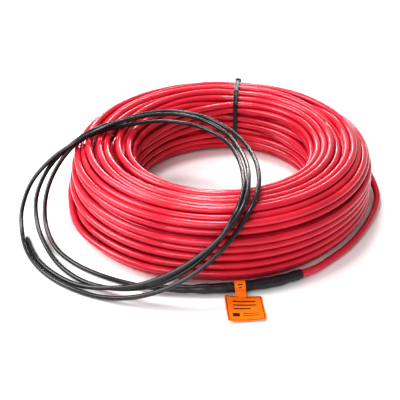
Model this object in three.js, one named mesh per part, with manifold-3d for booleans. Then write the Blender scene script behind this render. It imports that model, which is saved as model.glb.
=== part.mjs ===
// A coil of floor heating cable that lies flat on a level floor.
// The red heating cable is wound by hand into a ring and held by one cable tie at the back.
// Its outer end runs round the foot of the coil into a black shrink sleeve with an orange tag.
// A thinner black cold lead leaves the sleeve, makes three loose loops that lean on the coil,
// and ends cut off square. Millimetres, +Z up, origin on the floor at the centre of the coil.
import * as THREE from 'three';
import { mergeVertices } from 'three/addons/utils/BufferGeometryUtils.js';
import Module from 'manifold-3d';

const wasm = await Module();
wasm.setup();

// Coil of heating cable
const CABLE_DIA = 6.8;
const COIL_BORE_RADIUS = 88;
const COIL_OUTER_RADIUS = 149.5;
const COIL_HEIGHT = 68;
const OUTER_TOP_ROUND = 24;
const INNER_TOP_ROUND = 16;
const FOOT_ROUND = 11;
const TURN_VALLEY = 1.5;
const TURN_CREST_SHARE = 0.34;
const COIL_SEGMENTS = 48;

// Cold lead and the sleeve that joins it to the heating cable
const LEAD_DIA = 4.2;
const SLEEVE_DIA = 9.6;
const SLEEVE_CONE_LENGTH = 9;
const SLEEVE_END_WALL = 0.7;
const SLEEVE_OVERLAP = 0.6;

// Orange tag
const TAG_WIDTH = 32.5;
const TAG_LENGTH = 32;
const TAG_THICKNESS = 0.5;
const TAG_NECK_WIDTH = 9.6;
const TAG_NECK_LENGTH = 3.5;
const TAG_AT_SLEEVE = 0.444;
const TAG_TURN = -1;
const TAG_SHIFT = -2.6;

// Cable tie
const TIE_WIDTH = 4.8;
const TIE_THICKNESS = 1.3;
const TIE_SINK = 1.6;
const TIE_HEAD_LENGTH = 6.5;
const TIE_HEAD_WIDTH = 6.8;
const TIE_HEAD_HEIGHT = 3.4;
const TIE_HEAD_ANGLE = 35;
const TIE_AZIMUTH = 82;
const TIE_SKEW = 3.8;

// End seal at the inner end of the heating cable
const SEAL_DIA = 8.6;
const SEAL_LENGTH = 32;
const SEAL_AZIMUTH = -68;

// Clearance between neighbours, and under what lies on the floor
const CLEARANCE = 0.3;
const FLOOR_GAP = 0.1;

// The sleeve lies on the tag's band, so its underside is higher than the floor by the band
const SLEEVE_LIFT = TAG_THICKNESS + CLEARANCE;

// Colours
const material = (color, roughness) => new THREE.MeshStandardMaterial({ color, roughness, metalness: 0 });
const RED_JACKET = material(0xd7263d, 0.42);
const BLACK_JACKET = material(0x2b2b2d, 0.45);
const SHRINK_BLACK = material(0x242426, 0.5);
const TIE_BLACK = material(0x1d1d1f, 0.4);
const TAG_ORANGE = material(0xf47b20, 0.5);

// Solid from a closed geometry, and a drawable geometry from a solid
function toSolid(geometry) {
  const bare = geometry.index ? geometry.toNonIndexed() : geometry.clone();
  bare.deleteAttribute('normal');
  bare.deleteAttribute('uv');
  const merged = mergeVertices(bare, 1e-4);
  const position = merged.attributes.position;
  const index = merged.index.array;
  const kept = [];
  for (let i = 0; i < index.length; i += 3) {
    const [a, b, c] = [index[i], index[i + 1], index[i + 2]];
    if (a !== b && b !== c && c !== a) kept.push(a, b, c);
  }
  const corner = (i) => new THREE.Vector3().fromBufferAttribute(position, i);
  let volume = 0;
  for (let i = 0; i < kept.length; i += 3) {
    volume += corner(kept[i]).dot(corner(kept[i + 1]).cross(corner(kept[i + 2])));
  }
  if (volume < 0) kept.reverse();
  const mesh = new wasm.Mesh({
    numProp: 3,
    vertProperties: new Float32Array(position.array),
    triVerts: new Uint32Array(kept),
  });
  return new wasm.Manifold(mesh);
}

function toGeometry(solid) {
  const mesh = solid.getMesh();
  const geometry = new THREE.BufferGeometry();
  geometry.setAttribute('position', new THREE.BufferAttribute(mesh.vertProperties, 3));
  geometry.setIndex(new THREE.BufferAttribute(mesh.triVerts, 1));
  geometry.computeVertexNormals();
  return geometry;
}

function named(name, geometry, surface) {
  const mesh = new THREE.Mesh(geometry, surface);
  mesh.name = name;
  return mesh;
}

// Rounded outline of the coil's section, grown by an offset, as points with outward normals
function sectionPath(offset) {
  const low = -offset;
  const high = COIL_HEIGHT + offset;
  const inner = COIL_BORE_RADIUS - offset;
  const outer = COIL_OUTER_RADIUS + offset;
  const round = (radius) => Math.max(radius + offset, 0.2);
  const corners = [
    { x: outer - round(FOOT_ROUND), y: low + round(FOOT_ROUND), r: round(FOOT_ROUND), start: -90 },
    { x: outer - round(OUTER_TOP_ROUND), y: high - round(OUTER_TOP_ROUND), r: round(OUTER_TOP_ROUND), start: 0 },
    { x: inner + round(INNER_TOP_ROUND), y: high - round(INNER_TOP_ROUND), r: round(INNER_TOP_ROUND), start: 90 },
    { x: inner + round(FOOT_ROUND), y: low + round(FOOT_ROUND), r: round(FOOT_ROUND), start: 180 },
  ];
  return corners;
}

function sectionShape(offset, steps) {
  const points = [];
  for (const { x, y, r, start } of sectionPath(offset)) {
    for (let i = 0; i <= steps; i += 1) {
      const angle = THREE.MathUtils.degToRad(start + (90 * i) / steps);
      points.push(new THREE.Vector2(x + r * Math.cos(angle), y + r * Math.sin(angle)));
    }
  }
  return points;
}

// Places along the section's outline at equal steps, each with its outward normal
function sectionPlaces(offset, wantedStep) {
  const pieces = [];
  const corners = sectionPath(offset);
  corners.forEach((corner, k) => {
    const next = corners[(k + 1) % corners.length];
    pieces.push({ arc: true, corner, length: (corner.r * Math.PI) / 2 });
    const angle = THREE.MathUtils.degToRad(corner.start + 90);
    const normal = new THREE.Vector2(Math.cos(angle), Math.sin(angle));
    const from = new THREE.Vector2(corner.x, corner.y).addScaledVector(normal, corner.r);
    const to = new THREE.Vector2(next.x, next.y).addScaledVector(normal, next.r);
    pieces.push({ arc: false, from, to, normal, length: from.distanceTo(to) });
  });
  const total = pieces.reduce((sum, piece) => sum + piece.length, 0);
  const count = Math.round(total / wantedStep);
  const places = [];
  for (let i = 0; i < count; i += 1) {
    let along = (total * (i + 0.5)) / count;
    let k = 0;
    while (along > pieces[k].length) {
      along -= pieces[k].length;
      k += 1;
    }
    const piece = pieces[k];
    if (piece.arc) {
      const { x, y, r, start } = piece.corner;
      const angle = THREE.MathUtils.degToRad(start) + along / r;
      const normal = new THREE.Vector2(Math.cos(angle), Math.sin(angle));
      places.push({ at: new THREE.Vector2(x, y).addScaledVector(normal, r), normal });
    } else {
      const at = piece.from.clone().lerp(piece.to, along / piece.length);
      places.push({ at, normal: piece.normal.clone() });
    }
  }
  return { places, step: total / count };
}

// Coil: one turned ring whose section shows a low crest for every outer turn of cable
function coilRing() {
  const radius = CABLE_DIA / 2;
  const { places, step } = sectionPlaces(-radius, CABLE_DIA);
  const profile = [];
  places.forEach(({ at, normal }, i) => {
    const next = places[(i + 1) % places.length];
    const side = new THREE.Vector2(-normal.y, normal.x);
    const crest = at.clone().addScaledVector(normal, radius);
    const half = (step * TURN_CREST_SHARE) / 2;
    profile.push(crest.clone().addScaledVector(side, -half));
    profile.push(crest.clone().addScaledVector(side, half));
    const normalBetween = normal.clone().add(next.normal).normalize();
    const middle = at.clone().lerp(next.at, 0.5);
    profile.push(middle.addScaledVector(normalBetween, radius - TURN_VALLEY));
  });
  profile.push(profile[0].clone());
  const ring = new THREE.LatheGeometry(profile, COIL_SEGMENTS);
  ring.rotateX(Math.PI / 2);
  return ring;
}

// Frame of the tie: x points away from the coil's axis, y points up, z runs along the turns.
// The tie stands a little askew, turned about the middle of the bundle.
function tieFrame() {
  const middle = (COIL_BORE_RADIUS + COIL_OUTER_RADIUS) / 2;
  const azimuth = THREE.MathUtils.degToRad(TIE_AZIMUTH);
  const angle = THREE.MathUtils.degToRad(TIE_AZIMUTH + TIE_SKEW);
  const outward = new THREE.Vector3(Math.cos(angle), Math.sin(angle), 0);
  const up = new THREE.Vector3(0, 0, 1);
  const place = new THREE.Vector3(Math.cos(azimuth), Math.sin(azimuth), 0).multiplyScalar(middle);
  place.addScaledVector(outward, -middle);
  const basis = new THREE.Matrix4().makeBasis(outward, up, outward.clone().cross(up));
  return basis.setPosition(place);
}

function bandAroundSection(innerOffset, outerOffset, width) {
  const shape = new THREE.Shape(sectionShape(outerOffset, 8));
  shape.holes.push(new THREE.Path(sectionShape(innerOffset, 8)));
  const band = new THREE.ExtrudeGeometry(shape, { depth: width, bevelEnabled: false });
  band.translate(0, 0, -width / 2);
  band.applyMatrix4(tieFrame());
  return band;
}

function coilSolid() {
  const groove = bandAroundSection(-TIE_SINK - CLEARANCE, 4 * TIE_SINK, TIE_WIDTH + 2 * CLEARANCE);
  return toSolid(coilRing()).subtract(toSolid(groove));
}

// Cable tie: a closed strap in the pinched turns, with its square head on the outer shoulder
function tieSolid() {
  const strap = bandAroundSection(-TIE_SINK, TIE_THICKNESS - TIE_SINK, TIE_WIDTH);
  const shoulder = sectionPath(0)[1];
  const tilt = THREE.MathUtils.degToRad(TIE_HEAD_ANGLE);
  const base = shoulder.r + CLEARANCE;
  const neckDepth = TIE_SINK + CLEARANCE;
  const onShoulder = (geometry, distance) => {
    geometry.rotateZ(tilt);
    geometry.translate(
      shoulder.x + distance * Math.cos(tilt),
      shoulder.y + distance * Math.sin(tilt),
      0,
    );
    geometry.applyMatrix4(tieFrame());
    return toSolid(geometry);
  };
  const head = new THREE.BoxGeometry(TIE_HEAD_HEIGHT, TIE_HEAD_LENGTH, TIE_HEAD_WIDTH);
  const neck = new THREE.BoxGeometry(2 * neckDepth, TIE_HEAD_LENGTH * 0.8, TIE_WIDTH * 0.9);
  return toSolid(strap)
    .add(onShoulder(head, base + TIE_HEAD_HEIGHT / 2))
    .add(onShoulder(neck, base));
}

// Round tube along a smooth route, closed at both ends
function tube(points, diameter, sides, steps) {
  const route = new THREE.CatmullRomCurve3(
    points.map(([x, y, z]) => new THREE.Vector3(x, y, z)),
    false,
    'centripetal',
  );
  const section = [];
  for (let i = 0; i < sides; i += 1) {
    const angle = (2 * Math.PI * (i + 0.5)) / sides;
    section.push(new THREE.Vector2(Math.cos(angle), Math.sin(angle)).multiplyScalar(diameter / 2));
  }
  const shape = new THREE.Shape(section);
  return new THREE.ExtrudeGeometry(shape, { steps, extrudePath: route, bevelEnabled: false });
}

// Route of the last turn: off the coil's side, down to the floor and round its foot.
// The first two numbers are a place in plan, the third is the height of the cable's underside.
const TAIL_ROUTE = [
  [136, 71.5, 21],
  [148.5, 41, 14.5],
  [156, 13, 8.5],
  [158.4, -13, 3.4],
  [153.6, -33, 0.4],
  [144, -55.2, 0.1],
  [132.2, -76.2, 0.1],
  [115.8, -99.4, 0.1],
  [97.4, -118.4, 0.1],
  [86.6, -128.6, 0.2],
];

// Route of the joint's sleeve along the front of the coil
const SLEEVE_ROUTE = [
  [62.3, -143.9, 0.2],
  [52, -148.6, 0.1],
  [42, -152, 0.1],
  [28.5, -155.5, 0.1],
  [15.5, -158, 0.1],
  [-2, -160, 0.1],
  [-19, -161, 0.1],
  [-36.5, -161, 0.1],
  [-47, -160.5, 0.1],
];

// Route of the cold lead: along the floor, up over the coil's left rim, across the bore,
// down over the front, three times round, each loop lying clear of the one before it
const LEAD_ROUTE = [
  [-79.5, -151, 0.5],
  [-109.5, -137.5, 0.2],
  [-136, -119.5, 0.3],
  [-157, -96.5, 2.3],
  [-169.5, -69.5, 12],
  [-171, -43, 28],
  [-161.5, -22, 46],
  [-143.5, -8, 63],
  [-119, 5, 69.5],
  [-93.5, 20, 68.5],
  [-65.5, 28.5, 68],
  [-36, 26, 66.5],
  [-10.5, 10, 65.4],
  [6.5, -15.5, 65.4],
  [15.5, -47, 67],
  [19, -80.5, 69.4],
  [18, -113, 70.6],
  [9.5, -140.5, 64.5],
  [-8, -158, 44.6],
  [-32.5, -167.5, 26.8],
  [-61.5, -168.5, 12.5],
  [-91.5, -161.5, 4.1],
  [-120, -148.4, 0.6],
  [-144.6, -127, 0.2],
  [-163, -100, 1.5],
  [-176.5, -72.5, 9.3],
  [-181.5, -45.5, 22.9],
  [-173, -22.5, 40.3],
  [-153, -6, 57.4],
  [-129, 8.5, 68.8],
  [-104, 26.5, 69.6],
  [-77.5, 42, 70.3],
  [-47.5, 48, 69.2],
  [-18.5, 39.5, 67.1],
  [4, 19, 65.5],
  [19.5, -8.5, 65.9],
  [29, -40, 67.6],
  [33, -73.5, 69.8],
  [31.5, -106, 70.4],
  [23, -135, 66.3],
  [6, -156, 50.2],
  [-17, -170, 33.2],
  [-44.5, -176.5, 17.9],
  [-74, -176, 6.9],
  [-104.5, -168.5, 0.8],
  [-134, -154.6, 0.2],
  [-159.3, -134.3, 0.2],
  [-178.6, -107.8, 0.3],
  [-190.5, -79, 2],
  [-195.5, -51.5, 13],
  [-188, -30.5, 31.3],
  [-168, -19, 51],
  [-144, -12.5, 66],
  [-120, 1.5, 73.4],
  [-96, 20, 73.9],
  [-69, 36, 71.6],
  [-39, 39.5, 69.2],
  [-13, 27, 66.5],
  [5.5, 3, 65.6],
  [16.5, -27.5, 67.1],
  [22.5, -60.5, 70.2],
  [23.5, -94, 73],
  [20, -125.5, 72],
  [7.5, -150, 62],
  [-15, -163, 44.3],
  [-42, -169.5, 27.8],
  [-71.5, -170.5, 15],
  [-100.5, -164.5, 7.5],
  [-126, -152.6, 1],
  [-148.4, -137.2, 0.2],
  [-166.4, -118.4, 0.2],
  [-177.7, -99, 0.2],
  [-185.2, -82, 0.2],
];

const lifted = (route, diameter) => route.map(([x, y, z]) => [x, y, z + diameter / 2]);

// Middle line of the sleeve
const sleeveLine = () => lifted(SLEEVE_ROUTE, SLEEVE_DIA + 2 * SLEEVE_LIFT);

// Ends of the sleeve: the middle of each end face and the direction that its cable leaves in
function sleeveMouths() {
  const points = sleeveLine().map((point) => new THREE.Vector3(...point));
  const mouth = (end, next) => {
    const outward = end.clone().sub(next).normalize();
    const face = end.clone().addScaledVector(outward, SLEEVE_CONE_LENGTH - SLEEVE_OVERLAP);
    return { end, outward, face };
  };
  const last = points.length - 1;
  return { tail: mouth(points[0], points[1]), lead: mouth(points[last], points[last - 1]) };
}

// Two points that bring a cable square to the sleeve's end face, the nearer one first
function meetingPoints({ face, outward }, diameter) {
  const at = (distance) => face.clone().addScaledVector(outward, distance).toArray();
  return [at(CLEARANCE), at(CLEARANCE + diameter)];
}

// Frame at a distance share of a curve: x runs along it, z is up
function frameOn(curve, share) {
  const at = curve.getPointAt(share);
  const along = curve.getTangentAt(share).setZ(0).normalize();
  const up = new THREE.Vector3(0, 0, 1);
  const matrix = new THREE.Matrix4().makeBasis(along, up.clone().cross(along), up);
  return matrix.setPosition(at);
}

// Sleeve: a round body with a cone at each end that grips the cable there
function sleeveSolid() {
  const body = tube(sleeveLine(), SLEEVE_DIA, 12, 18);
  const cone = ({ end, outward }, cableDiameter) => {
    const tip = cableDiameter / 2 + SLEEVE_END_WALL;
    const shape = new THREE.CylinderGeometry(tip, SLEEVE_DIA / 2 - 0.05, SLEEVE_CONE_LENGTH, 12);
    shape.translate(0, SLEEVE_CONE_LENGTH / 2 - SLEEVE_OVERLAP, 0);
    const turn = new THREE.Quaternion().setFromUnitVectors(new THREE.Vector3(0, 1, 0), outward);
    shape.applyQuaternion(turn);
    shape.translate(end.x, end.y, end.z);
    return toSolid(shape);
  };
  const mouths = sleeveMouths();
  return toSolid(body).add(cone(mouths.tail, CABLE_DIA)).add(cone(mouths.lead, LEAD_DIA));
}

// Tag: a band round the sleeve, a neck and a square flag that lies on the floor
function tagSolid() {
  const centre = new THREE.CatmullRomCurve3(
    sleeveLine().map((point) => new THREE.Vector3(...point)),
    false,
    'centripetal',
  );
  const frame = frameOn(centre, TAG_AT_SLEEVE);
  const inner = SLEEVE_DIA / 2 + CLEARANCE;
  const ring = new THREE.Shape();
  ring.absarc(0, 0, inner + TAG_THICKNESS, 0, 2 * Math.PI, false);
  const hole = new THREE.Path();
  hole.absarc(0, 0, inner, 0, 2 * Math.PI, true);
  ring.holes.push(hole);
  const band = new THREE.ExtrudeGeometry(ring, {
    depth: TAG_NECK_WIDTH,
    bevelEnabled: false,
    curveSegments: 12,
  });
  band.translate(0, 0, -TAG_NECK_WIDTH / 2);
  band.rotateY(Math.PI / 2);
  band.applyMatrix4(frame);
  const centreHeight = centre.getPointAt(TAG_AT_SLEEVE).z;
  const slab = (width, length) => {
    const piece = new THREE.BoxGeometry(width, length, TAG_THICKNESS);
    piece.translate(0, length / 2, TAG_THICKNESS / 2 - centreHeight + FLOOR_GAP);
    return piece;
  };
  const riser = new THREE.BoxGeometry(TAG_NECK_WIDTH, TAG_THICKNESS, centreHeight - FLOOR_GAP);
  riser.translate(0, inner + TAG_THICKNESS / 2, (FLOOR_GAP - centreHeight) / 2);
  const neck = slab(TAG_NECK_WIDTH, TAG_NECK_LENGTH);
  neck.translate(0, inner, 0);
  const flag = slab(TAG_WIDTH, TAG_LENGTH);
  flag.rotateZ(THREE.MathUtils.degToRad(TAG_TURN));
  flag.translate(TAG_SHIFT, inner + TAG_NECK_LENGTH - 1, 0);
  const placed = [riser, neck, flag].map((piece) => toSolid(piece.applyMatrix4(frame)));
  return placed.reduce((whole, piece) => whole.add(piece), toSolid(band));
}

// End seal: a short black cap on the inner end of the cable. It lies on the floor in the bore,
// against the turn that stands out most at its height.
function sealGeometry() {
  const radius = SEAL_DIA / 2;
  const height = radius + FLOOR_GAP;
  const apart = CABLE_DIA / 2 + CLEARANCE + radius;
  const { places } = sectionPlaces(-CABLE_DIA / 2, CABLE_DIA);
  const middle = (COIL_BORE_RADIUS + COIL_OUTER_RADIUS) / 2;
  const facet = Math.cos(Math.PI / COIL_SEGMENTS);
  let wall = COIL_BORE_RADIUS;
  for (const { at } of places) {
    const rise = Math.abs(at.y - height);
    if (at.x < middle && rise < apart) {
      wall = Math.min(wall, at.x * facet - Math.sqrt(apart * apart - rise * rise));
    }
  }
  const straight = SEAL_LENGTH / 2 - radius / 2;
  const reach = Math.sqrt(wall * wall - straight * straight);
  const profile = [
    new THREE.Vector2(0, -SEAL_LENGTH / 2),
    new THREE.Vector2(CABLE_DIA / 2, -SEAL_LENGTH / 2),
    new THREE.Vector2(radius, -straight),
    new THREE.Vector2(radius, straight),
    new THREE.Vector2(radius * 0.7, SEAL_LENGTH / 2),
    new THREE.Vector2(0, SEAL_LENGTH / 2),
  ];
  const seal = new THREE.LatheGeometry(profile, 12);
  const angle = THREE.MathUtils.degToRad(SEAL_AZIMUTH);
  seal.rotateZ(angle);
  seal.translate(reach * Math.cos(angle), reach * Math.sin(angle), height);
  return seal;
}

const coil = new THREE.Group();
coil.add(named('heating_cable_coil', toGeometry(coilSolid()), RED_JACKET));
coil.add(named('cable_tie', toGeometry(tieSolid()), TIE_BLACK));
coil.add(named('end_seal', toGeometry(toSolid(sealGeometry())), SHRINK_BLACK));

const mouths = sleeveMouths();
const tailPoints = lifted(TAIL_ROUTE, CABLE_DIA);
tailPoints.push(...meetingPoints(mouths.tail, CABLE_DIA).reverse());
coil.add(named('heating_cable_tail', tube(tailPoints, CABLE_DIA, 10, 24), RED_JACKET));
coil.add(named('joint_sleeve', toGeometry(sleeveSolid()), SHRINK_BLACK));
coil.add(named('marker_tag', toGeometry(tagSolid()), TAG_ORANGE));

const leadPoints = lifted(LEAD_ROUTE, LEAD_DIA);
leadPoints.unshift(...meetingPoints(mouths.lead, LEAD_DIA));
coil.add(named('cold_lead', tube(leadPoints, LEAD_DIA, 8, 160), BLACK_JACKET));

export default coil;
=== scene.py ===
import math
import bpy
import numpy as np
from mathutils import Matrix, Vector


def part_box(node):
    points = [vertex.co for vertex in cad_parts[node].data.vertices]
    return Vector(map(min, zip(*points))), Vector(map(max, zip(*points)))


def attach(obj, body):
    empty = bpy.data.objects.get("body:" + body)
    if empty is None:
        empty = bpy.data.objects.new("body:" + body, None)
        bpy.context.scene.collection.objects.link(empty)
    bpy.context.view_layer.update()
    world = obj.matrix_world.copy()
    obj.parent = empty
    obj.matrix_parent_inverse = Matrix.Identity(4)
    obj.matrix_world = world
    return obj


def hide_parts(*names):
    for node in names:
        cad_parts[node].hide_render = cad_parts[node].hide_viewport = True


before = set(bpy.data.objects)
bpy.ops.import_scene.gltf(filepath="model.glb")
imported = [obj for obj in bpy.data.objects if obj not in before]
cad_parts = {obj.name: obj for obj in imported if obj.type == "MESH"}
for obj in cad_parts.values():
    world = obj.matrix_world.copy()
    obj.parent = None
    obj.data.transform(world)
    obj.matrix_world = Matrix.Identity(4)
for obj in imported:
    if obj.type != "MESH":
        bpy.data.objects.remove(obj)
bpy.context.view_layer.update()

# Camera
# The coil is seen from in front and from 31 degrees above the floor, through a long lens.
# The object sits a little right of the middle of the picture and above it.
CAMERA_PLACE = (0.0, -0.6852, 0.4399)
CAMERA_TILT = 58.93
CAMERA_LENS = 70.2
CAMERA_SENSOR = 36.0
CAMERA_SHIFT = (-0.0555, -0.0718)
CAMERA_CLIP = (0.01, 20.0)

camera_data = bpy.data.cameras.new("camera")
camera_data.sensor_width = CAMERA_SENSOR
camera_data.lens = CAMERA_LENS
camera_data.shift_x, camera_data.shift_y = CAMERA_SHIFT
camera_data.clip_start, camera_data.clip_end = CAMERA_CLIP
camera = bpy.data.objects.new("camera", camera_data)
camera.location = CAMERA_PLACE
camera.rotation_euler = (math.radians(CAMERA_TILT), 0.0, 0.0)
bpy.context.scene.collection.objects.link(camera)
bpy.context.scene.camera = camera

# Heating cable
# Red twin-conductor cable with a smooth extruded PVC jacket. It is wound by hand into a ring of
# about 79 turns that lie as they fell, closer at the tie and looser in front of it.
# Its inner end goes into the seal in the bore, its outer end runs round the foot to the sleeve.

# Lengths are in millimetres, and MM brings them to metres. Angles are in degrees, azimuths
# anticlockwise from +X.
MM = 0.001
CABLE_DIA = 6.8
CABLE_SIDES = 12
CABLE_STEPS = 2
BORE_RADIUS = 88.0
OUTER_RADIUS = 149.5
COIL_HEIGHT = 68.0
FOOT_ROUND = 11.0
OUTER_TOP_ROUND = 24.0
INNER_TOP_ROUND = 16.0
TIE_AZIMUTH = 82.0
TIE_RISE = 3.2
TIE_RISE_WIDTH = 32.0
TIE_PINCH = 3.1
TIE_PINCH_WIDTH = 5.5
SLACK = 1.3
SLACK_OPPOSITE_TIE = 0.9
# Stations are the places on one turn. The cable starts at the front of the bore and goes
# clockwise. Both its ends are held at given places in the section: radius and height.
STATIONS = 40
WHOLE_TURNS = 78
STATIONS_OVER = 26
FIRST_AZIMUTH = -90.0
INNER_END = [(87.6, 3.9), (89.4, 3.6), (90.9, 3.5)]
OUTER_END = [(146.2, 33.4), (147.0, 32.2), (148.6, 30.0), (151.0, 27.2)]
LAST_SLOT = (146.0, 33.0)
TURN_SEED = 5
SLOT_COLUMNS = 10
SLOT_TRIALS = 400
SLOT_SHUFFLE = 1.3
MOVE_MIDDLE = (0.25, 0.75)
MOVE_SPAN = 0.6
DRIFT = 0.7
DRIFT_STATIONS = 9
SETTLE_ROUNDS = 280
PUSH_SHARE = 0.30
CALM_FIRST = 0.28
CALM_LAST = 0.05
FAR_OFF = 1e4
FAR_APART = 50.0
TINY = 1e-9
TOUCH = 1e-6
# The spread's rise and fall are the azimuth at the foot of each and the angle that it takes.
# The bulge and the tuck are bells: a height, the azimuth of the middle and a width.
LEFT_SPREAD = 8.5
LEFT_SPREAD_RISE = (128.0, 50.0)
LEFT_SPREAD_FALL = (266.0, 28.0)
LEFT_BULGE = (3.0, 212.0, 16.0)
RIGHT_TUCK = (4.0, 318.0, 26.0)
SPREAD_HEIGHT = 48.0

# Points on the underside of the cable and of the sleeve.
TAIL_ROUTE = [
    (136, 71.5, 21), (148.5, 41, 14.5), (156, 13, 8.5), (158.4, -13, 3.4), (153.6, -33, 0.4),
    (144, -55.2, 0.1), (132.2, -76.2, 0.1), (115.8, -99.4, 0.1), (97.4, -118.4, 0.1),
    (86.6, -128.6, 0.2),
]
TAIL_STEPS = 4
SEAL_MOUTH = [(19.0, -82.9, 4.4), (13.0, -85.3, 4.3)]
SLEEVE_ROUTE = [
    (62.3, -143.9, 0.2), (52, -148.6, 0.1), (42, -152, 0.1), (28.5, -155.5, 0.1),
    (15.5, -158, 0.1), (-2, -160, 0.1), (-19, -161, 0.1), (-36.5, -161, 0.1),
    (-47, -160.5, 0.1),
]
SLEEVE_DIA = 9.6
SLEEVE_LIFT = 0.8
SLEEVE_MOUTH = 8.4
LEAD_IN_SLEEVE = 0.2
CLEARANCE = 0.3


def lifted(route, height):
    """Route points as an array, with the height of the middle line over the underside added."""
    return np.array(route, float) + (0.0, 0.0, height)


def smooth_line(points, per_span):
    """Centripetal Catmull-Rom line: between two points a cubic whose end slopes come from the
    neighbours, weighted by the square roots of the distances between them."""
    points = np.asarray(points, float)
    ends = np.vstack([2 * points[0] - points[1], points, 2 * points[-1] - points[-2]])
    a, b, c, d = ends[:-3], ends[1:-2], ends[2:-1], ends[3:]
    weight = np.sqrt(np.linalg.norm(np.diff(ends, axis=0), axis=1))[:, None]
    ab, bc, cd = weight[:-2], weight[1:-1], weight[2:]
    slope_b = ((b - a) / ab - (c - a) / (ab + bc) + (c - b) / bc) * bc
    slope_c = ((c - b) / bc - (d - b) / (bc + cd) + (d - c) / cd) * bc
    t = np.arange(per_span)[None, :, None] / per_span
    b, c, slope_b, slope_c = (v[:, None, :] for v in (b, c, slope_b, slope_c))
    line = b + slope_b * t + (3 * (c - b) - 2 * slope_b - slope_c) * t ** 2
    line = line + (2 * (b - c) + slope_b + slope_c) * t ** 3
    return np.vstack([line.reshape(-1, 3), points[-1:]])


def mouth_points(end, before, diameter):
    """Points where a cable meets the sleeve's end face square on: one inside the sleeve, one a
    clearance outside it, and one a diameter further out."""
    outward = (end - before) / np.linalg.norm(end - before)
    away = np.array([-LEAD_IN_SLEEVE, CLEARANCE, CLEARANCE + diameter])[:, None]
    return end + outward * (SLEEVE_MOUTH + away)


def outline_push(r, z, ease, rise, inset):
    """How far each place lies outside the bundle's outline, and which way that is. The outline is
    a rectangle with an arc at each corner. Beyond both straight parts of a corner the distance is
    measured from the arc's centre, anywhere else from the nearest side. The floor doesn't move."""
    low, high = 0.0, COIL_HEIGHT + ease + rise
    half_r = (OUTER_RADIUS - BORE_RADIUS) / 2 + ease - inset
    half_z = (high - low) / 2 - inset
    dr, dz = r - (OUTER_RADIUS + BORE_RADIUS) / 2, z - (high + low) / 2
    top = np.where(dr > 0, OUTER_TOP_ROUND, INNER_TOP_ROUND)
    arc = np.where(dz > 0, top, FOOT_ROUND) - inset
    over_r, over_z = np.abs(dr) - half_r + arc, np.abs(dz) - half_z + arc
    corner = (over_r > 0) & (over_z > 0)
    reach = np.maximum(np.hypot(over_r, over_z), TINY)
    far = np.where(corner, reach, np.maximum(over_r, over_z)) - arc
    way_r = np.where(corner, over_r / reach, over_r > over_z) * np.sign(dr)
    way_z = np.where(corner, over_z / reach, over_r <= over_z) * np.sign(dz)
    return far, way_r, way_z


def turn_slots(count, dice):
    """Places of the turns in the bundle's section, column by column from the bore outwards, up
    one column and down the next. Each column gets turns by the room it has, evenly spaced, and
    their order is shuffled a little. The last turn lies on the outside, where the tail starts."""
    radius = CABLE_DIA / 2
    columns = np.linspace(BORE_RADIUS + radius, OUTER_RADIUS - radius, SLOT_COLUMNS)
    heights = np.linspace(radius, COIL_HEIGHT - radius, SLOT_TRIALS)
    room = []
    for r in columns:
        far = outline_push(np.full_like(heights, r), heights, 0.0, 0.0, radius)[0]
        room.append(heights[far <= TOUCH][[0, -1]])
    spans = np.array([high - low for low, high in room])
    wanted = spans / spans.sum() * (count - len(columns)) + 1
    edges = np.round(np.cumsum(wanted)).astype(int)
    each = np.diff(np.concatenate([[0], edges]))
    slots = []
    for k, (r, (low, high), n) in enumerate(zip(columns, room, each)):
        z = np.linspace(low, high, n)
        slots.append(np.stack([np.full(n, r), z if k % 2 == 0 else z[::-1]], 1))
    slots = np.vstack(slots)
    order = np.argsort(np.arange(len(slots)) + dice.normal(0, SLOT_SHUFFLE, len(slots)))
    order = np.concatenate([[0], order[order != 0]])
    last = np.argmin(np.hypot(slots[:, 0] - LAST_SLOT[0], slots[:, 1] - LAST_SLOT[1]))
    order = np.concatenate([order[order != last], [last]])
    return slots[order]


def smooth_step(share):
    """A rise from 0 to 1 that is level at both ends: three squares less two cubes of the share."""
    share = np.clip(share, 0, 1)
    return share * share * (3 - 2 * share)


def foot_spread(azimuth):
    """How far the outer turns have slid outwards on the floor. On the left, where the lead leans
    on them, a smooth rise and a smooth fall round the coil, with a bell on top. At the front
    right they lie a little further in, by another bell."""
    rise = smooth_step((azimuth - LEFT_SPREAD_RISE[0]) / LEFT_SPREAD_RISE[1])
    fall = smooth_step((LEFT_SPREAD_FALL[0] - azimuth) / LEFT_SPREAD_FALL[1])
    bulge, tuck = (
        height * np.exp(-((azimuth - middle) / width) ** 2)
        for height, middle, width in (LEFT_BULGE, RIGHT_TUCK))
    return rise * fall * (LEFT_SPREAD + bulge) - tuck


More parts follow.
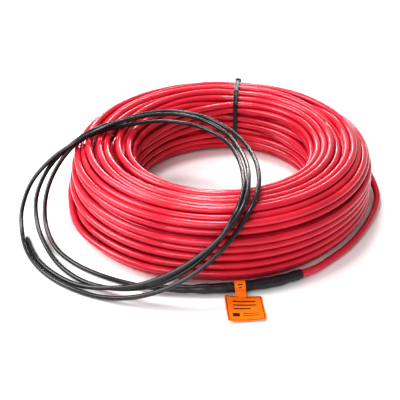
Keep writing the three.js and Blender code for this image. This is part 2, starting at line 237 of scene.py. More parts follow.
def wound_line():
    """Middle line of the wound cable. Each turn keeps to its slot in the section and moves to the
    next one somewhere on its way round. Then turns that lie in one another push apart at every
    station, the line straightens a little, and the outline holds the bundle together."""
    dice = np.random.default_rng(TURN_SEED)
    count = WHOLE_TURNS * STATIONS + STATIONS_OVER + 1
    turns = -(-count // STATIONS)
    slots = turn_slots(turns, dice)
    slots = np.vstack([slots, slots[-1:]])
    k = np.arange(count)
    turn, share = k // STATIONS, (k % STATIONS) / STATIONS
    middle = dice.uniform(*MOVE_MIDDLE, turns)[turn]
    step = smooth_step((share - middle) / MOVE_SPAN + 0.5)[:, None]
    place = slots[turn] * (1 - step) + slots[turn + 1] * step
    knots = np.linspace(0, count, count // DRIFT_STATIONS)
    drift = dice.normal(0, DRIFT, (len(knots), 2))
    place += np.stack([np.interp(k, knots, drift[:, i]) for i in range(2)], 1)

    azimuth = FIRST_AZIMUTH - 360.0 / STATIONS * k
    from_tie = (azimuth - TIE_AZIMUTH + 180) % 360 - 180
    loose = 0.5 - 0.5 * np.cos(np.radians(from_tie))
    pinch = TIE_PINCH * np.exp(-(from_tie / TIE_PINCH_WIDTH) ** 2)
    ease = SLACK + SLACK_OPPOSITE_TIE * loose - pinch
    rise = TIE_RISE * np.exp(-(from_tie / TIE_RISE_WIDTH) ** 2)
    held = np.zeros(count, bool)
    held[:len(INNER_END)] = held[-len(OUTER_END):] = True
    place[:len(INNER_END)] = INNER_END
    place[-len(OUTER_END):] = OUTER_END

    # The last turn isn't whole. Its missing stations stand far off and far from each other.
    full = np.full((turns * STATIONS, 2), FAR_OFF)
    full[:, 0] += FAR_APART * np.arange(turns * STATIONS)
    for i in range(SETTLE_ROUNDS):
        full[:count] = place
        grid = full.reshape(turns, STATIONS, 2).transpose(1, 0, 2)
        apart = grid[:, :, None, :] - grid[:, None, :, :]
        far = np.sqrt((apart ** 2).sum(3)) + TINY
        push = np.clip(CABLE_DIA - far, 0, None) / far
        push[far < TOUCH] = 0.0
        move = (apart * push[..., None]).sum(2) * PUSH_SHARE
        place = place + move.transpose(1, 0, 2).reshape(-1, 2)[:count] * ~held[:, None]
        calm = CALM_FIRST * (1 - i / SETTLE_ROUNDS) + CALM_LAST
        straight = np.zeros_like(place)
        straight[1:-1] = (place[:-2] + place[2:]) / 2 - place[1:-1]
        place = place + straight * calm * ~held[:, None]
        out, way_r, way_z = outline_push(place[:, 0], place[:, 1], ease, rise, CABLE_DIA / 2)
        out = np.where(held, 0.0, np.clip(out, 0, None))
        place = place - np.stack([way_r * out, way_z * out], 1)
        place[:, 1] = np.maximum(place[:, 1], CABLE_DIA / 2)
    turned = np.radians(azimuth)
    r, z = place.T
    outside = ((r - BORE_RADIUS) / (OUTER_RADIUS - BORE_RADIUS)) ** 2
    low = 1 - smooth_step(z / SPREAD_HEIGHT)
    r = r + foot_spread(azimuth % 360) * outside * low * ~held
    return np.stack([r * np.cos(turned), r * np.sin(turned), z], 1)


def line_frames(line):
    """Directions at each point of a line: along it, level to its side, and up from it."""
    along = np.gradient(line, axis=0)
    along /= np.linalg.norm(along, axis=1, keepdims=True)
    side = np.cross(along, (0.0, 0.0, 1.0))
    side /= np.linalg.norm(side, axis=1, keepdims=True)
    return along, side, np.cross(side, along)


def new_piece(name, places, faces, material, sharp=40.0):
    """An object at the origin from places in millimetres and faces of any size."""
    mesh = bpy.data.meshes.new(name)
    mesh.from_pydata((np.asarray(places) * MM).tolist(), [], [list(map(int, f)) for f in faces])
    mesh.materials.append(material)
    mesh.polygons.foreach_set("use_smooth", [True] * len(mesh.polygons))
    mesh.set_sharp_from_angle(angle=math.radians(sharp))
    mesh.update()
    piece = bpy.data.objects.new(name, mesh)
    bpy.context.scene.collection.objects.link(piece)
    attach(piece, "root")
    return piece


def grid_faces(rings, sides):
    """Quads between neighbouring rings of a closed section, facing outwards."""
    i, j = np.meshgrid(np.arange(rings - 1), np.arange(sides), indexing="ij")
    right = (j + 1) % sides
    quads = [i * sides + j, (i + 1) * sides + j, (i + 1) * sides + right, i * sides + right]
    return np.stack(quads, 2).reshape(-1, 4)


def round_tube(name, line, radius, sides, material):
    """A circle carried along a line. Its radius may change from ring to ring, and a fan of
    triangles round a middle point closes each end."""
    rings = len(line)
    along, side, up = line_frames(line)
    turn = 2 * np.pi * (np.arange(sides) + 0.5) / sides
    radius = np.broadcast_to(radius, rings)[:, None, None]
    turn = turn[None, :, None]
    circle = np.cos(turn) * side[:, None] + np.sin(turn) * up[:, None]
    places = (line[:, None] + radius * circle).reshape(-1, 3)
    places = np.vstack([places, line[:1], line[-1:]])
    j = np.arange(sides)
    right, last = (j + 1) % sides, (rings - 1) * sides
    start = np.stack([np.full(sides, rings * sides), j, right], 1)
    end = np.stack([np.full(sides, rings * sides + 1), last + right, last + j], 1)
    faces = [*grid_faces(rings, sides), *start, *end]
    return new_piece(name, places, faces, material)


def handling_group():
    """Shared marks of handling: patches from a broad noise, and a fine noise for the surface."""
    group = bpy.data.node_groups.new("handling_marks", "ShaderNodeTree")
    for label, value in (("Patch Scale", 20.0), ("Fine Scale", 900.0)):
        socket = group.interface.new_socket(label, in_out="INPUT", socket_type="NodeSocketFloat")
        socket.default_value = value
    for label in ("Patches", "Fine"):
        group.interface.new_socket(label, in_out="OUTPUT", socket_type="NodeSocketFloat")
    nodes, links = group.nodes, group.links
    entry, leave = nodes.new("NodeGroupInput"), nodes.new("NodeGroupOutput")
    place = nodes.new("ShaderNodeTexCoord")
    for label, scale, detail in (("Patches", "Patch Scale", 3.0), ("Fine", "Fine Scale", 2.0)):
        noise = nodes.new("ShaderNodeTexNoise")
        noise.inputs["Detail"].default_value = detail
        links.new(place.outputs["Object"], noise.inputs["Vector"])
        links.new(entry.outputs[scale], noise.inputs["Scale"])
        links.new(noise.outputs["Fac"], leave.inputs[label])
    return group


HANDLING = handling_group()
PATCH_EDGES = (0.35, 0.65)
COAT_ROUGHNESS = 0.04
RELIEF_DEPTH = 0.0001


def jacket_material(name, deep, light, roughness, specular, coat, patch, fine, bump):
    """Smooth plastic: its colour drifts between two shades in broad patches, its roughness
    follows the same patches, and a fine noise lifts the surface."""
    material = bpy.data.materials.new(name)
    material.use_nodes = True
    nodes, links = material.node_tree.nodes, material.node_tree.links
    skin = nodes["Principled BSDF"]
    marks = nodes.new("ShaderNodeGroup")
    marks.node_tree = HANDLING
    marks.inputs["Patch Scale"].default_value = patch
    marks.inputs["Fine Scale"].default_value = fine
    shade = nodes.new("ShaderNodeValToRGB")
    for stop, edge, colour in zip(shade.color_ramp.elements, PATCH_EDGES, (deep, light)):
        stop.position, stop.color = edge, (*colour, 1)
    links.new(marks.outputs["Patches"], shade.inputs["Fac"])
    links.new(shade.outputs["Color"], skin.inputs["Base Color"])
    rough = nodes.new("ShaderNodeMapRange")
    rough.inputs["To Min"].default_value = roughness[0]
    rough.inputs["To Max"].default_value = roughness[1]
    links.new(marks.outputs["Patches"], rough.inputs["Value"])
    links.new(rough.outputs["Result"], skin.inputs["Roughness"])
    relief = nodes.new("ShaderNodeBump")
    relief.inputs["Strength"].default_value = bump
    relief.inputs["Distance"].default_value = RELIEF_DEPTH
    links.new(marks.outputs["Fine"], relief.inputs["Height"])
    links.new(relief.outputs["Normal"], skin.inputs["Normal"])
    skin.inputs["Specular IOR Level"].default_value = specular
    skin.inputs["Coat Weight"].default_value = coat
    skin.inputs["Coat Roughness"].default_value = COAT_ROUGHNESS
    return material


RED_JACKET = jacket_material(
    "red_jacket", deep=(0.54, 0.018, 0.045), light=(0.66, 0.028, 0.062),
    roughness=(0.26, 0.36), specular=0.25, coat=0.8, patch=30.0, fine=1200.0, bump=0.02)

sleeve_line = lifted(SLEEVE_ROUTE, SLEEVE_DIA / 2 + SLEEVE_LIFT)
wound = wound_line()
tail = lifted(TAIL_ROUTE, CABLE_DIA / 2)
tail_mouth = mouth_points(sleeve_line[0], sleeve_line[1], CABLE_DIA)[:0:-1]
tail_line = smooth_line(np.vstack([wound[-2:], tail, tail_mouth]), TAIL_STEPS)[TAIL_STEPS:]
heating_line = smooth_line(np.vstack([SEAL_MOUTH, wound[:-1], tail_line]), CABLE_STEPS)

heating_cable = round_tube(
    "heating_cable", heating_line, CABLE_DIA / 2, CABLE_SIDES, RED_JACKET)
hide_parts("heating_cable_coil", "heating_cable_tail")

# Cold lead
# Thinner black supply lead with a smooth PVC jacket, joined to the heating cable in the sleeve.
# It makes three loose loops that lean on the coil's left rim, cross the bore and come down over
# the front, and it ends cut off square on the floor.
LEAD_DIA = 4.2
LEAD_SIDES = 16
LEAD_STEPS = 10
LEAD_CUT_SHARE = 0.93
LEAD_ROUTE = [
    (-79.5, -151, 0.5), (-109.5, -137.5, 0.2), (-136, -119.5, 0.3), (-157, -96.5, 2.3),
    (-169.5, -69.5, 12), (-171, -43, 28), (-161.5, -22, 46), (-143.5, -8, 63),
    (-119, 5, 69.5), (-93.5, 20, 68.5), (-65.5, 28.5, 68), (-36, 26, 66.5),
    (-10.5, 10, 65.4), (6.5, -15.5, 65.4), (15.5, -47, 67), (19, -80.5, 69.4),
    (18, -113, 70.6), (9.5, -140.5, 64.5), (-8, -158, 44.6), (-32.5, -167.5, 26.8),
    (-61.5, -168.5, 12.5), (-91.5, -161.5, 4.1), (-120, -148.4, 0.6), (-144.6, -127, 0.2),
    (-163, -100, 1.5), (-176.5, -72.5, 9.3), (-181.5, -45.5, 22.9), (-173, -22.5, 40.3),
    (-153, -6, 57.4), (-129, 8.5, 68.8), (-104, 26.5, 69.6), (-77.5, 42, 70.3),
    (-47.5, 48, 69.2), (-18.5, 39.5, 67.1), (4, 19, 65.5), (19.5, -8.5, 65.9),
    (29, -40, 67.6), (33, -73.5, 69.8), (31.5, -106, 70.4), (23, -135, 66.3),
    (6, -156, 50.2), (-17, -170, 33.2), (-44.5, -176.5, 17.9), (-74, -176, 6.9),
    (-104.5, -168.5, 0.8), (-134, -154.6, 0.2), (-159.3, -134.3, 0.2), (-178.6, -107.8, 0.3),
    (-190.5, -79, 2), (-195.5, -51.5, 13), (-188, -30.5, 31.3), (-168, -19, 51),
    (-144, -12.5, 66), (-120, 1.5, 73.4), (-96, 20, 73.9), (-69, 36, 71.6),
    (-39, 39.5, 69.2), (-13, 27, 66.5), (5.5, 3, 65.6), (16.5, -27.5, 67.1),
    (22.5, -60.5, 70.2), (23.5, -94, 73), (20, -125.5, 72), (7.5, -150, 62),
    (-15, -163, 44.3), (-42, -169.5, 27.8), (-71.5, -170.5, 15), (-100.5, -164.5, 7.5),
    (-126, -152.6, 1), (-148.4, -137.2, 0.2), (-166.4, -118.4, 0.2), (-177.7, -99, 0.2),
    (-185.2, -82, 0.2),
]
BLACK_JACKET = jacket_material(
    "black_jacket", deep=(0.011, 0.011, 0.012), light=(0.018, 0.018, 0.020),
    roughness=(0.22, 0.30), specular=0.6, coat=0.15, patch=40.0, fine=1500.0, bump=0.05)

lead_mouth = mouth_points(sleeve_line[-1], sleeve_line[-2], LEAD_DIA)
lead = lifted(LEAD_ROUTE, LEAD_DIA / 2)
lead_line = smooth_line(np.vstack([lead_mouth[[0, 2]], lead]), LEAD_STEPS)
lead_radius = np.full(len(lead_line), LEAD_DIA / 2)
lead_radius[-1] *= LEAD_CUT_SHARE
supply_lead = round_tube("supply_lead", lead_line, lead_radius, LEAD_SIDES, BLACK_JACKET)
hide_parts("cold_lead")

# Joint sleeve
# Black adhesive-lined shrink sleeve over the joint of heating cable and lead. It is shrunk on with
# hot air, so it follows the crimps under it and closes on a cable at each end.
SLEEVE_SIDES = 32
SLEEVE_STEPS = 14
SLEEVE_SHARES = (0, 0.04, 0.12, 0.3, 0.5, 0.62, 0.74, 0.86, 0.95, 1)
SLEEVE_RADII = (4.15, 4.3, 4.65, 4.8, 4.75, 4.4, 4.0, 3.45, 3.0, 2.8)
SLEEVE_FULLEST = 4.85
SLEEVE_WAVES = ((0.20, 47, 0.0), (0.16, 29, 1.0))  # height, pace and start of each sine
SLEEVE_STEADY_END = 5.0
SHRINK_SLEEVE = jacket_material(
    "shrink_sleeve", deep=(0.014, 0.012, 0.016), light=(0.030, 0.025, 0.031),
    roughness=(0.20, 0.45), specular=0.6, coat=0.0, patch=150.0, fine=260.0, bump=1.0)


def sleeve_radius(share, length):
    """Radius along the sleeve: straight between given places, full over the crimps at the
    heating cable's side and slimmer towards the lead. Two sines add the shallow waves that uneven
    heat leaves. They fade out at both mouths."""
    waves = sum(height * np.sin(share * pace + start) for height, pace, start in SLEEVE_WAVES)
    body = np.interp(share, SLEEVE_SHARES, SLEEVE_RADII)
    edge = np.clip(np.minimum(share, 1 - share) * length / SLEEVE_STEADY_END, 0, 1)
    return np.minimum(body + waves * edge, SLEEVE_FULLEST)


def distances_along(line):
    """How far each point of a line is from its first point: the sum of the spans before it."""
    return np.concatenate([[0], np.cumsum(np.linalg.norm(np.diff(line, axis=0), axis=1))])


first_way = sleeve_line[0] - sleeve_line[1]
last_way = sleeve_line[-1] - sleeve_line[-2]
sleeve_start = sleeve_line[0] + first_way / np.linalg.norm(first_way) * SLEEVE_MOUTH
sleeve_end = sleeve_line[-1] + last_way / np.linalg.norm(last_way) * SLEEVE_MOUTH
sleeve_path = smooth_line(np.vstack([sleeve_start, sleeve_line, sleeve_end]), SLEEVE_STEPS)
sleeve_far = distances_along(sleeve_path)
sleeve_radii = sleeve_radius(sleeve_far / sleeve_far[-1], sleeve_far[-1])
joint_sleeve = round_tube(
    "joint_sleeve_shrunk", sleeve_path, sleeve_radii, SLEEVE_SIDES, SHRINK_SLEEVE)
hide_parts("joint_sleeve")

# Marker tag
# Orange plastic film, folded round the sleeve and welded, with a neck and a square flag that
# curls off the floor at its corners. It carries generic marks only: a frame, lines and bars.
TAG_THICKNESS = 0.5
TAG_FILM_THICKNESS = 0.35
TAG_MIDDLE_HEIGHT = 0.35
TAG_NECK_WIDTH = 9.6
TAG_NECK_LENGTH = 3.5
TAG_NECK_UNDER_FLAG = 1.5
TAG_NECK_HIGH = -0.8
TAG_NECK_LOW = 1.4
TAG_NECK_DROP = 4.0
TAG_AT_SLEEVE = 0.444
TAG_CORNERS = ((1.7, -167.5), (34.0, -164.2), (37.2, -195.7), (4.9, -199.0))
TAG_CORNER_ROUND = 0.022
TAG_LIFT_AT_NECK = 4.6
TAG_LIFT_FAR_RIGHT = 2.3
TAG_LIFT_FAR_LEFT = 3.0
TAG_RIPPLE = (0.15, 9)  # height and pace of a sine
TAG_SEAM_ANGLE = 8
TAG_RING_STEPS = 60
TAG_NECK_STEPS = 12
TAG_BAND_COLUMNS = 8
TAG_FLAG_STEPS = 34
TAG_ORANGE = ((0.80, 0.17, 0.006), (0.92, 0.27, 0.014))
TAG_PRINT = (0.05, 0.025, 0.02)
TAG_ROUGHNESS = 0.34
TAG_WEAR_SCALE = 260.0
# The marks are blocks, as shares of the flag: middle and half size across, then down. The frame
# line is what a large block leaves of a larger one.
TAG_FRAME_LINE = (0.47, 0.452)
TAG_MARKS = (
    (0.5, 0.30, 0.22, 0.022), (0.5, 0.30, 0.36, 0.022), (0.42, 0.22, 0.50, 0.022),
    (0.24, 0.09, 0.74, 0.07), (0.62, 0.20, 0.78, 0.012), (0.62, 0.20, 0.70, 0.012),
    (0.5, 0.07, -0.30, 0.012), (0.5, 0.04, -0.24, 0.012),
)


def tag_film_material():
    """Orange film with dark generic marks. The marks are made of bands in the flag's own two
    directions, which the mesh carries as its UV map: a frame line, ruled lines and bars. The band
    has the places below zero, with two short bars."""
    material = bpy.data.materials.new("tag_film")
    material.use_nodes = True
    nodes, links = material.node_tree.nodes, material.node_tree.links
    skin = nodes["Principled BSDF"]
    uv = nodes.new("ShaderNodeUVMap")
    split = nodes.new("ShaderNodeSeparateXYZ")
    links.new(uv.outputs["UV"], split.inputs["Vector"])

    def band(axis, middle, half):
        apart = nodes.new("ShaderNodeMath")
        apart.operation = "SUBTRACT"
        links.new(split.outputs[axis], apart.inputs[0])
        apart.inputs[1].default_value = middle
        size = nodes.new("ShaderNodeMath")
        size.operation = "ABSOLUTE"
        links.new(apart.outputs[0], size.inputs[0])
        inside = nodes.new("ShaderNodeMath")
        inside.operation = "LESS_THAN"
        links.new(size.outputs[0], inside.inputs[0])
        inside.inputs[1].default_value = half
        return inside.outputs[0]

    def joined(operation, first, second):
        node = nodes.new("ShaderNodeMath")
        node.operation = operation
        links.new(first, node.inputs[0])
        links.new(second, node.inputs[1])
        return node.outputs[0]

    def block(across, half_across, down, half_down):
        return joined("MULTIPLY", band("X", across, half_across), band("Y", down, half_down))

    outer, inner = (block(0.5, half, 0.5, half) for half in TAG_FRAME_LINE)
    marks = joined("SUBTRACT", outer, inner)
    for mark in TAG_MARKS:
        marks = joined("MAXIMUM", marks, block(*mark))
    print_colour = nodes.new("ShaderNodeMix")
    print_colour.data_type = "RGBA"
    wear = nodes.new("ShaderNodeTexNoise")
    wear.inputs["Scale"].default_value = TAG_WEAR_SCALE
    place = nodes.new("ShaderNodeTexCoord")
    links.new(place.outputs["Object"], wear.inputs["Vector"])
    shade = nodes.new("ShaderNodeValToRGB")
    for stop, colour in zip(shade.color_ramp.elements, TAG_ORANGE):
        stop.color = (*colour, 1)
    links.new(wear.outputs["Fac"], shade.inputs["Fac"])
    links.new(marks, print_colour.inputs["Factor"])
    links.new(shade.outputs["Color"], print_colour.inputs["A"])
    print_colour.inputs["B"].default_value = (*TAG_PRINT, 1)
    links.new(print_colour.outputs["Result"], skin.inputs["Base Color"])
    skin.inputs["Roughness"].default_value = TAG_ROUGHNESS
    return material


TAG_FILM = tag_film_material()


def sheet_piece(name, middle, thickness, marks, material):
    """A thin sheet from a grid of places on its middle face: each place is set off by half the
    thickness along the grid's normal on both sides, and the rim joins the two."""
    rows, columns = middle.shape[:2]
    down, across = np.gradient(middle, axis=0), np.gradient(middle, axis=1)
    normal = np.cross(across, down)
    normal /= np.linalg.norm(normal, axis=2, keepdims=True)
    top, bottom = middle + normal * thickness / 2, middle - normal * thickness / 2
    places = np.vstack([top.reshape(-1, 3), bottom.reshape(-1, 3)])
    half = rows * columns
    i, j = np.meshgrid(np.arange(rows - 1), np.arange(columns - 1), indexing="ij")
    a = (i * columns + j).ravel()
    b, c, d = a + 1, a + columns + 1, a + columns
    rim = np.concatenate([
        np.arange(columns - 1), np.arange(rows - 1) * columns + columns - 1,
        np.arange(half - 1, half - columns, -1), np.arange(rows - 1, 0, -1) * columns])
    following = np.roll(rim, -1)
    faces = np.vstack([
        np.stack([a, b, c, d], 1), np.stack([a, d, c, b], 1) + half,
        np.stack([following, rim, rim + half, following + half], 1)])
    piece = new_piece(name, places, faces, material)
    layer = piece.data.uv_layers.new(name="marks")
    corner = np.empty(len(piece.data.loops), np.int32)
    piece.data.loops.foreach_get("vertex_index", corner)
    flat = np.vstack([marks.reshape(-1, 2), marks.reshape(-1, 2)])
    layer.data.foreach_set("uv", flat[corner].ravel())
    return piece


def on_sleeve(share):
    """Place and level directions on the sleeve's middle line at a share of its length."""
    line = smooth_line(sleeve_line, 40)
    far = distances_along(line)
    at = np.array([np.interp(share * far[-1], far, line[:, i]) for i in range(3)])
    near = np.array([np.interp(share * far[-1] + 1, far, line[:, i]) for i in range(3)])
    along = (near - at) * (1, 1, 0)
    along /= np.linalg.norm(along)
    return at, along, np.cross((0.0, 0.0, 1.0), along)


tag_at, tag_along, tag_out = on_sleeve(TAG_AT_SLEEVE)
band_radius = SLEEVE_DIA / 2 + CLEARANCE + TAG_THICKNESS / 2


def tag_band():
    """The band and the neck: a strip that goes once round the sleeve as an arc of a circle and
    then outwards, down to the flag in a smooth step. Its places are on the strip's middle face,
    in rows along the strip."""
    turn = np.radians(np.linspace(-TAG_SEAM_ANGLE, TAG_SEAM_ANGLE - 360, TAG_RING_STEPS))
    ring = np.stack([np.cos(turn), np.sin(turn)], 1) * band_radius
    neck_end = band_radius + TAG_NECK_LENGTH + TAG_NECK_UNDER_FLAG
    out = np.linspace(band_radius + CLEARANCE, neck_end, TAG_NECK_STEPS)
    drop = smooth_step((out - out[0]) / TAG_NECK_DROP)
    floor = TAG_MIDDLE_HEIGHT - tag_at[2]
    fall = floor + TAG_NECK_LOW - TAG_NECK_HIGH
    neck = np.stack([out, TAG_NECK_HIGH + fall * drop], 1)
    strip = np.vstack([ring, neck])
    width = np.linspace(-TAG_NECK_WIDTH / 2, TAG_NECK_WIDTH / 2, TAG_BAND_COLUMNS)
    return (tag_at + strip[:, None, :1] * tag_out + strip[:, None, 1:] * np.array((0, 0, 1.0))
            + width[None, :, None] * tag_along)


def flag_shares():
    """Shares across and down the flag, which are also its places in the UV map."""
    return np.meshgrid(np.linspace(1, 0, TAG_FLAG_STEPS), np.linspace(0, 1, TAG_FLAG_STEPS))


def tag_flag():
    """The flag: a square set out from its four corners in plan, with slightly rounded corners.
    Its height over the floor is a sum of products: most at the left by the neck, where the film
    springs up, and a little at both corners away from the sleeve."""
    x, y = flag_shares()
    left_near, right_near, right_far, left_far = (np.array(c) for c in TAG_CORNERS)
    bulge_x, bulge_y = 2 * np.abs(x - 0.5), 2 * np.abs(y - 0.5)
    inward = TAG_CORNER_ROUND * (bulge_x * bulge_y) ** 14
    u = (x + np.sign(0.5 - x) * inward)[..., None]
    v = (y + np.sign(0.5 - y) * inward)[..., None]
    near, far = left_near * (1 - u) + right_near * u, left_far * (1 - u) + right_far * u
    z = (TAG_MIDDLE_HEIGHT + TAG_LIFT_AT_NECK * (1 - x) ** 2.2 * (1 - y) ** 1.4
         + TAG_LIFT_FAR_RIGHT * x ** 2 * y ** 2.5 + TAG_LIFT_FAR_LEFT * (1 - x) ** 1.8 * y ** 2
         + TAG_RIPPLE[0] * np.sin(x * TAG_RIPPLE[1]) * y * (1 - y))
    return np.concatenate([near * (1 - v) + far * v, z[..., None]], 2)


band_marks = np.stack(np.meshgrid(
    np.linspace(0.35, 0.65, TAG_BAND_COLUMNS),
    np.linspace(-1, -0.02, TAG_RING_STEPS + TAG_NECK_STEPS)), 2)
flag_marks = np.stack(flag_shares(), 2)
marker_tag_band = sheet_piece(
    "marker_tag_band", tag_band(), TAG_FILM_THICKNESS, band_marks, TAG_FILM)
marker_tag_flag = sheet_piece(
    "marker_tag_flag", tag_flag(), TAG_FILM_THICKNESS, flag_marks, TAG_FILM)
for piece in (marker_tag_band, marker_tag_flag):
    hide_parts("marker_tag")

# End seal
# Black moulded cap shrunk over the inner end of the heating cable. It lies on the floor of the
# bore against the innermost turns.
SEAL_DIA = 8.6
SEAL_LENGTH = 32.0
SEAL_AZIMUTH = -68.0
SEAL_SIDES = 28
SEAL_RINGS = 40
SEAL_DOME = 0.12
SEAL_POLE = 0.02
SEAL_MOUTH_SHARE = 0.86
SEAL_TAPER = 0.15
SEAL_RIB = 0.06
SEAL_RIB_PACE = 60
SEAL_RIBS_FROM = 0.6


def cap_radius(share):
    """Radius along the cap from its closed end: a quarter of an ellipse, then the full radius,
    then a straight taper to the mouth. A sine adds low ribs by the mouth."""
    dome = np.sqrt(np.clip(1 - (1 - np.clip(share / SEAL_DOME, 0, 1)) ** 2, SEAL_POLE, 1))
    taper = np.clip((1 - share) / SEAL_TAPER, 0, 1)
    taper = SEAL_MOUTH_SHARE + (1 - SEAL_MOUTH_SHARE) * taper
    ribs = SEAL_RIB * np.sin(share * SEAL_RIB_PACE) * (share > SEAL_RIBS_FROM)
    return SEAL_DIA / 2 * np.minimum(dome, taper) + ribs


seal_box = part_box("end_seal")
seal_middle = (np.array(seal_box[0]) + np.array(seal_box[1])) / 2 / MM
seal_turn = math.radians(SEAL_AZIMUTH)
seal_way = np.array((math.sin(seal_turn), -math.cos(seal_turn), 0.0))
seal_share = np.linspace(0, 1, SEAL_RINGS)
seal_line = seal_middle + (seal_share[:, None] - 0.5) * SEAL_LENGTH * seal_way
end_seal = round_tube(
    "end_seal_cap", seal_line, cap_radius(seal_share), SEAL_SIDES, SHRINK_SLEEVE)
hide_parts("end_seal")

# Cable tie
# Black nylon tie, 4.8 mm wide, pulled tight round the turns at the back of the coil. Its ribbed
# strap goes through the square head on the outer shoulder, and the strap's end is cut off short.
TIE_WIDTH = 4.8
TIE_SINK = 1.6
TIE_SKEW = 3.8
TIE_HEAD = (3.4, 6.5, 6.8)  # out of the bundle, along the strap and across it
TIE_HEAD_ANGLE = 35.0
TIE_HEAD_ROUNDING = 0.28
TIE_STUB = (1.3, 3.0, 4.4)
TIE_STUB_ROUNDING = 0.25
TIE_STUB_PAST_HEAD = 3.6
TIE_STUB_RISE = 0.2
TIE_SHARP_ANGLE = 50.0
TIE_RIB = 0.16
TIE_RIB_STEPS = 3
TIE_RIB_CORNERS = (4, 5)
# The corners of the strap's section: shares of its width, and heights over the bundle's side.
STRAP_SHARES = (-0.5, -0.5, -0.42, -0.3, -0.28, 0.28, 0.3, 0.42, 0.5, 0.5, 0.4, -0.4)
STRAP_HEIGHTS = (0.25, 0.95, 1.25, 1.25, 1.1, 1.1, 1.25, 1.25, 0.95, 0.25, 0.0, 0.0)
STRAP_RINGS = 420
ARC_STEPS = 40
BLOCK_RINGS = 33
BLOCK_SIDES = 48
TIE_NYLON = jacket_material(
    "tie_nylon", deep=(0.008, 0.008, 0.009), light=(0.014, 0.014, 0.016),
    roughness=(0.28, 0.38), specular=0.6, coat=0.15, patch=60.0, fine=900.0, bump=0.1)

tie_turn = math.radians(TIE_AZIMUTH + TIE_SKEW)
tie_out = np.array((math.cos(tie_turn), math.sin(tie_turn), 0.0))
tie_side = np.array((-math.sin(tie_turn), math.cos(tie_turn), 0.0))
tie_foot = math.radians(TIE_AZIMUTH)
tie_place = (BORE_RADIUS + OUTER_RADIUS) / 2 * (
    np.array((math.cos(tie_foot), math.sin(tie_foot), 0.0)) - tie_out)


def section_loop(offset):
    """Places and outward directions round the bundle's section: four arcs joined by straights,
    grown by an offset, as (radius, height) pairs, at even distances along the loop."""
    corners = [
        (OUTER_RADIUS - FOOT_ROUND, FOOT_ROUND, FOOT_ROUND, -90),
        (OUTER_RADIUS - OUTER_TOP_ROUND, COIL_HEIGHT - OUTER_TOP_ROUND, OUTER_TOP_ROUND, 0),
        (BORE_RADIUS + INNER_TOP_ROUND, COIL_HEIGHT - INNER_TOP_ROUND, INNER_TOP_ROUND, 90),
        (BORE_RADIUS + FOOT_ROUND, FOOT_ROUND, FOOT_ROUND, 180),
    ]
    places, ways = [], []
    for r, z, arc, start in corners:
        angle = np.radians(start + np.linspace(0, 90, ARC_STEPS))
        way = np.stack([np.cos(angle), np.sin(angle)], 1)
        places.append(np.array((r, z)) + way * (arc + offset))
        ways.append(way)
    places, ways = np.vstack(places), np.vstack(ways)
    closed, closed_ways = np.vstack([places, places[:1]]), np.vstack([ways, ways[:1]])
    far = distances_along(closed)
    even = np.linspace(0, far[-1], STRAP_RINGS + 1)[:-1]
    places = np.stack([np.interp(even, far, closed[:, i]) for i in range(2)], 1)
    ways = np.stack([np.interp(even, far, closed_ways[:, i]) for i in range(2)], 1)
    return places, ways / np.linalg.norm(ways, axis=1, keepdims=True)


def in_tie_plane(places, width):
    """Places from (radius, height) in the tie's plane and a distance across its width. The plane
    stands a little askew, turned about the middle of the bundle. Heights are stretched, because
    the bundle is a little higher there."""
    up = np.array((0.0, 0.0, 1.0 + TIE_RISE / (COIL_HEIGHT - TIE_SINK)))
    return (tie_place + places[..., :1] * tie_out + places[..., 1:] * up
            + np.asarray(width)[..., None] * tie_side)


def tie_strap():
    """The strap: a flat section with rounded edges carried round the bundle, with a fine rib at
    every third step along the middle of its outer face."""
    places, ways = section_loop(-TIE_SINK)
    rings, sides = len(places), len(STRAP_SHARES)
    rib = TIE_RIB * (np.arange(rings) % TIE_RIB_STEPS == 0)
    width = np.array(STRAP_SHARES) * TIE_WIDTH
    middle = np.isin(np.arange(sides), TIE_RIB_CORNERS)
    height = np.array(STRAP_HEIGHTS)[None] + rib[:, None] * middle[None]
    ring = places[:, None] + ways[:, None] * height[..., None]
    solid = in_tie_plane(ring, np.broadcast_to(width, ring.shape[:2])).reshape(-1, 3)
    i, j = np.meshgrid(np.arange(rings), np.arange(sides), indexing="ij")
    after, right = (i + 1) % rings, (j + 1) % sides
    quads = [i * sides + j, i * sides + right, after * sides + right, after * sides + j]
    return solid, np.stack(quads, 2).reshape(-1, 4)


def tie_block(middle, way, size, exponent):
    """A rounded block in the tie's plane: a superellipsoid, a ball whose sines and cosines are
    raised to a small power. Its sizes lie along the way out of the bundle, along the strap and
    across it."""
    pole_to_pole = np.linspace(0, np.pi, BLOCK_RINGS)
    once_round = np.linspace(0, 2 * np.pi, BLOCK_SIDES + 1)[:-1]
    u, v = np.meshgrid(pole_to_pole, once_round, indexing="ij")

    def power(wave):
        return np.sign(wave) * np.abs(wave) ** exponent

    out = power(np.cos(u)) * size[0] / 2
    along = power(np.sin(u)) * power(np.cos(v)) * size[1] / 2
    across = power(np.sin(u)) * power(np.sin(v)) * size[2] / 2
    strap_way = np.array((-way[1], way[0]))
    flat = middle + out[..., None] * way + along[..., None] * strap_way
    return in_tie_plane(flat, across).reshape(-1, 3), grid_faces(BLOCK_RINGS, BLOCK_SIDES)


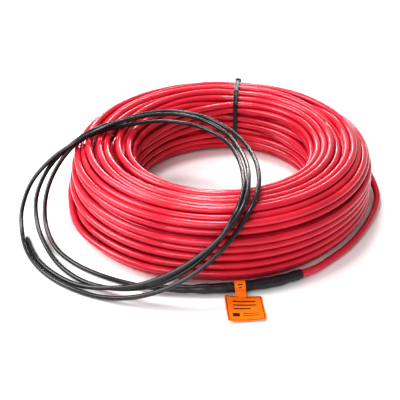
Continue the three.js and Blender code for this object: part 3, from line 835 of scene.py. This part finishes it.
strap_places, strap_faces = tie_strap()
cable_tie_strap = new_piece(
    "cable_tie_strap", strap_places, strap_faces, TIE_NYLON, TIE_SHARP_ANGLE)
shoulder = np.array((OUTER_RADIUS - OUTER_TOP_ROUND, COIL_HEIGHT - OUTER_TOP_ROUND))
head_turn = math.radians(TIE_HEAD_ANGLE)
head_way = np.array((math.cos(head_turn), math.sin(head_turn)))
head_middle = shoulder + head_way * (OUTER_TOP_ROUND + CLEARANCE + TIE_HEAD[0] / 2)
head_places, head_faces = tie_block(head_middle, head_way, TIE_HEAD, TIE_HEAD_ROUNDING)
cable_tie_head = new_piece(
    "cable_tie_head", head_places, head_faces, TIE_NYLON, TIE_SHARP_ANGLE)
stub_way = np.array((-head_way[1], head_way[0]))
stub_middle = head_middle + stub_way * TIE_STUB_PAST_HEAD + head_way * TIE_STUB_RISE
stub_places, stub_faces = tie_block(stub_middle, head_way, TIE_STUB, TIE_STUB_ROUNDING)
cable_tie_stub = new_piece(
    "cable_tie_stub", stub_places, stub_faces, TIE_NYLON, TIE_SHARP_ANGLE)
for piece in (cable_tie_strap, cable_tie_head, cable_tie_stub):
    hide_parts("cable_tie")

# Floor and light
# A plain white matt floor in a white room. A large soft light stands high at the left and another
# in front, a small one hangs over the coil, and a narrow strip behind draws the bright lines.
FLOOR_HALF = 6
FLOOR_WHITE = 0.95
FLOOR_ROUGHNESS = 0.9
FLOOR_SHEEN = 0.1
ROOM_LIGHT = 0.4
LIGHTS_MEET_AT = (0, 0, 0.03)
# Each light is a name, a place, a width, a height and a power in watts.
LIGHTS = (
    ("key_light", (-1.15, 0.0, 0.95), 0.9, 0.9, 13.0),
    ("top_light", (-0.1, 0.3, 1.1), 0.25, 0.25, 4.5),
    ("back_strip", (-0.15, 1.45, 0.62), 1.3, 0.08, 6.5),
    ("front_light", (-0.5, -1.25, 0.8), 0.9, 0.9, 7.5),
)

floor_mesh = bpy.data.meshes.new("studio_floor")
floor_corners = [
    (x * FLOOR_HALF, y * FLOOR_HALF, 0) for x, y in ((-1, -1), (1, -1), (1, 1), (-1, 1))]
floor_mesh.from_pydata(floor_corners, [], [(0, 1, 2, 3)])
floor_paint = bpy.data.materials.new("studio_floor")
floor_paint.use_nodes = True
paint = floor_paint.node_tree.nodes["Principled BSDF"].inputs
paint["Base Color"].default_value = (FLOOR_WHITE, FLOOR_WHITE, FLOOR_WHITE, 1)
paint["Roughness"].default_value = FLOOR_ROUGHNESS
paint["Specular IOR Level"].default_value = FLOOR_SHEEN
floor_mesh.materials.append(floor_paint)
studio_floor = bpy.data.objects.new("studio_floor", floor_mesh)
bpy.context.scene.collection.objects.link(studio_floor)

for name, place, width, height, power in LIGHTS:
    data = bpy.data.lights.new(name, "AREA")
    data.shape, data.size, data.size_y, data.energy = "RECTANGLE", width, height, power
    lamp = bpy.data.objects.new(name, data)
    lamp.location = place
    way = -np.array(place) + LIGHTS_MEET_AT
    way /= np.linalg.norm(way)
    lamp.rotation_euler = (math.acos(-way[2]), 0.0, math.atan2(-way[0], way[1]))
    bpy.context.scene.collection.objects.link(lamp)

world = bpy.data.worlds.new("studio")
world.use_nodes = True
world.node_tree.nodes["Background"].inputs["Color"].default_value = (1, 1, 1, 1)
world.node_tree.nodes["Background"].inputs["Strength"].default_value = ROOM_LIGHT
bpy.context.scene.world = world
bpy.context.scene.view_settings.view_transform = "Standard"
bpy.context.scene.view_settings.look = "High Contrast"
bpy.context.scene.view_settings.exposure = 0.0
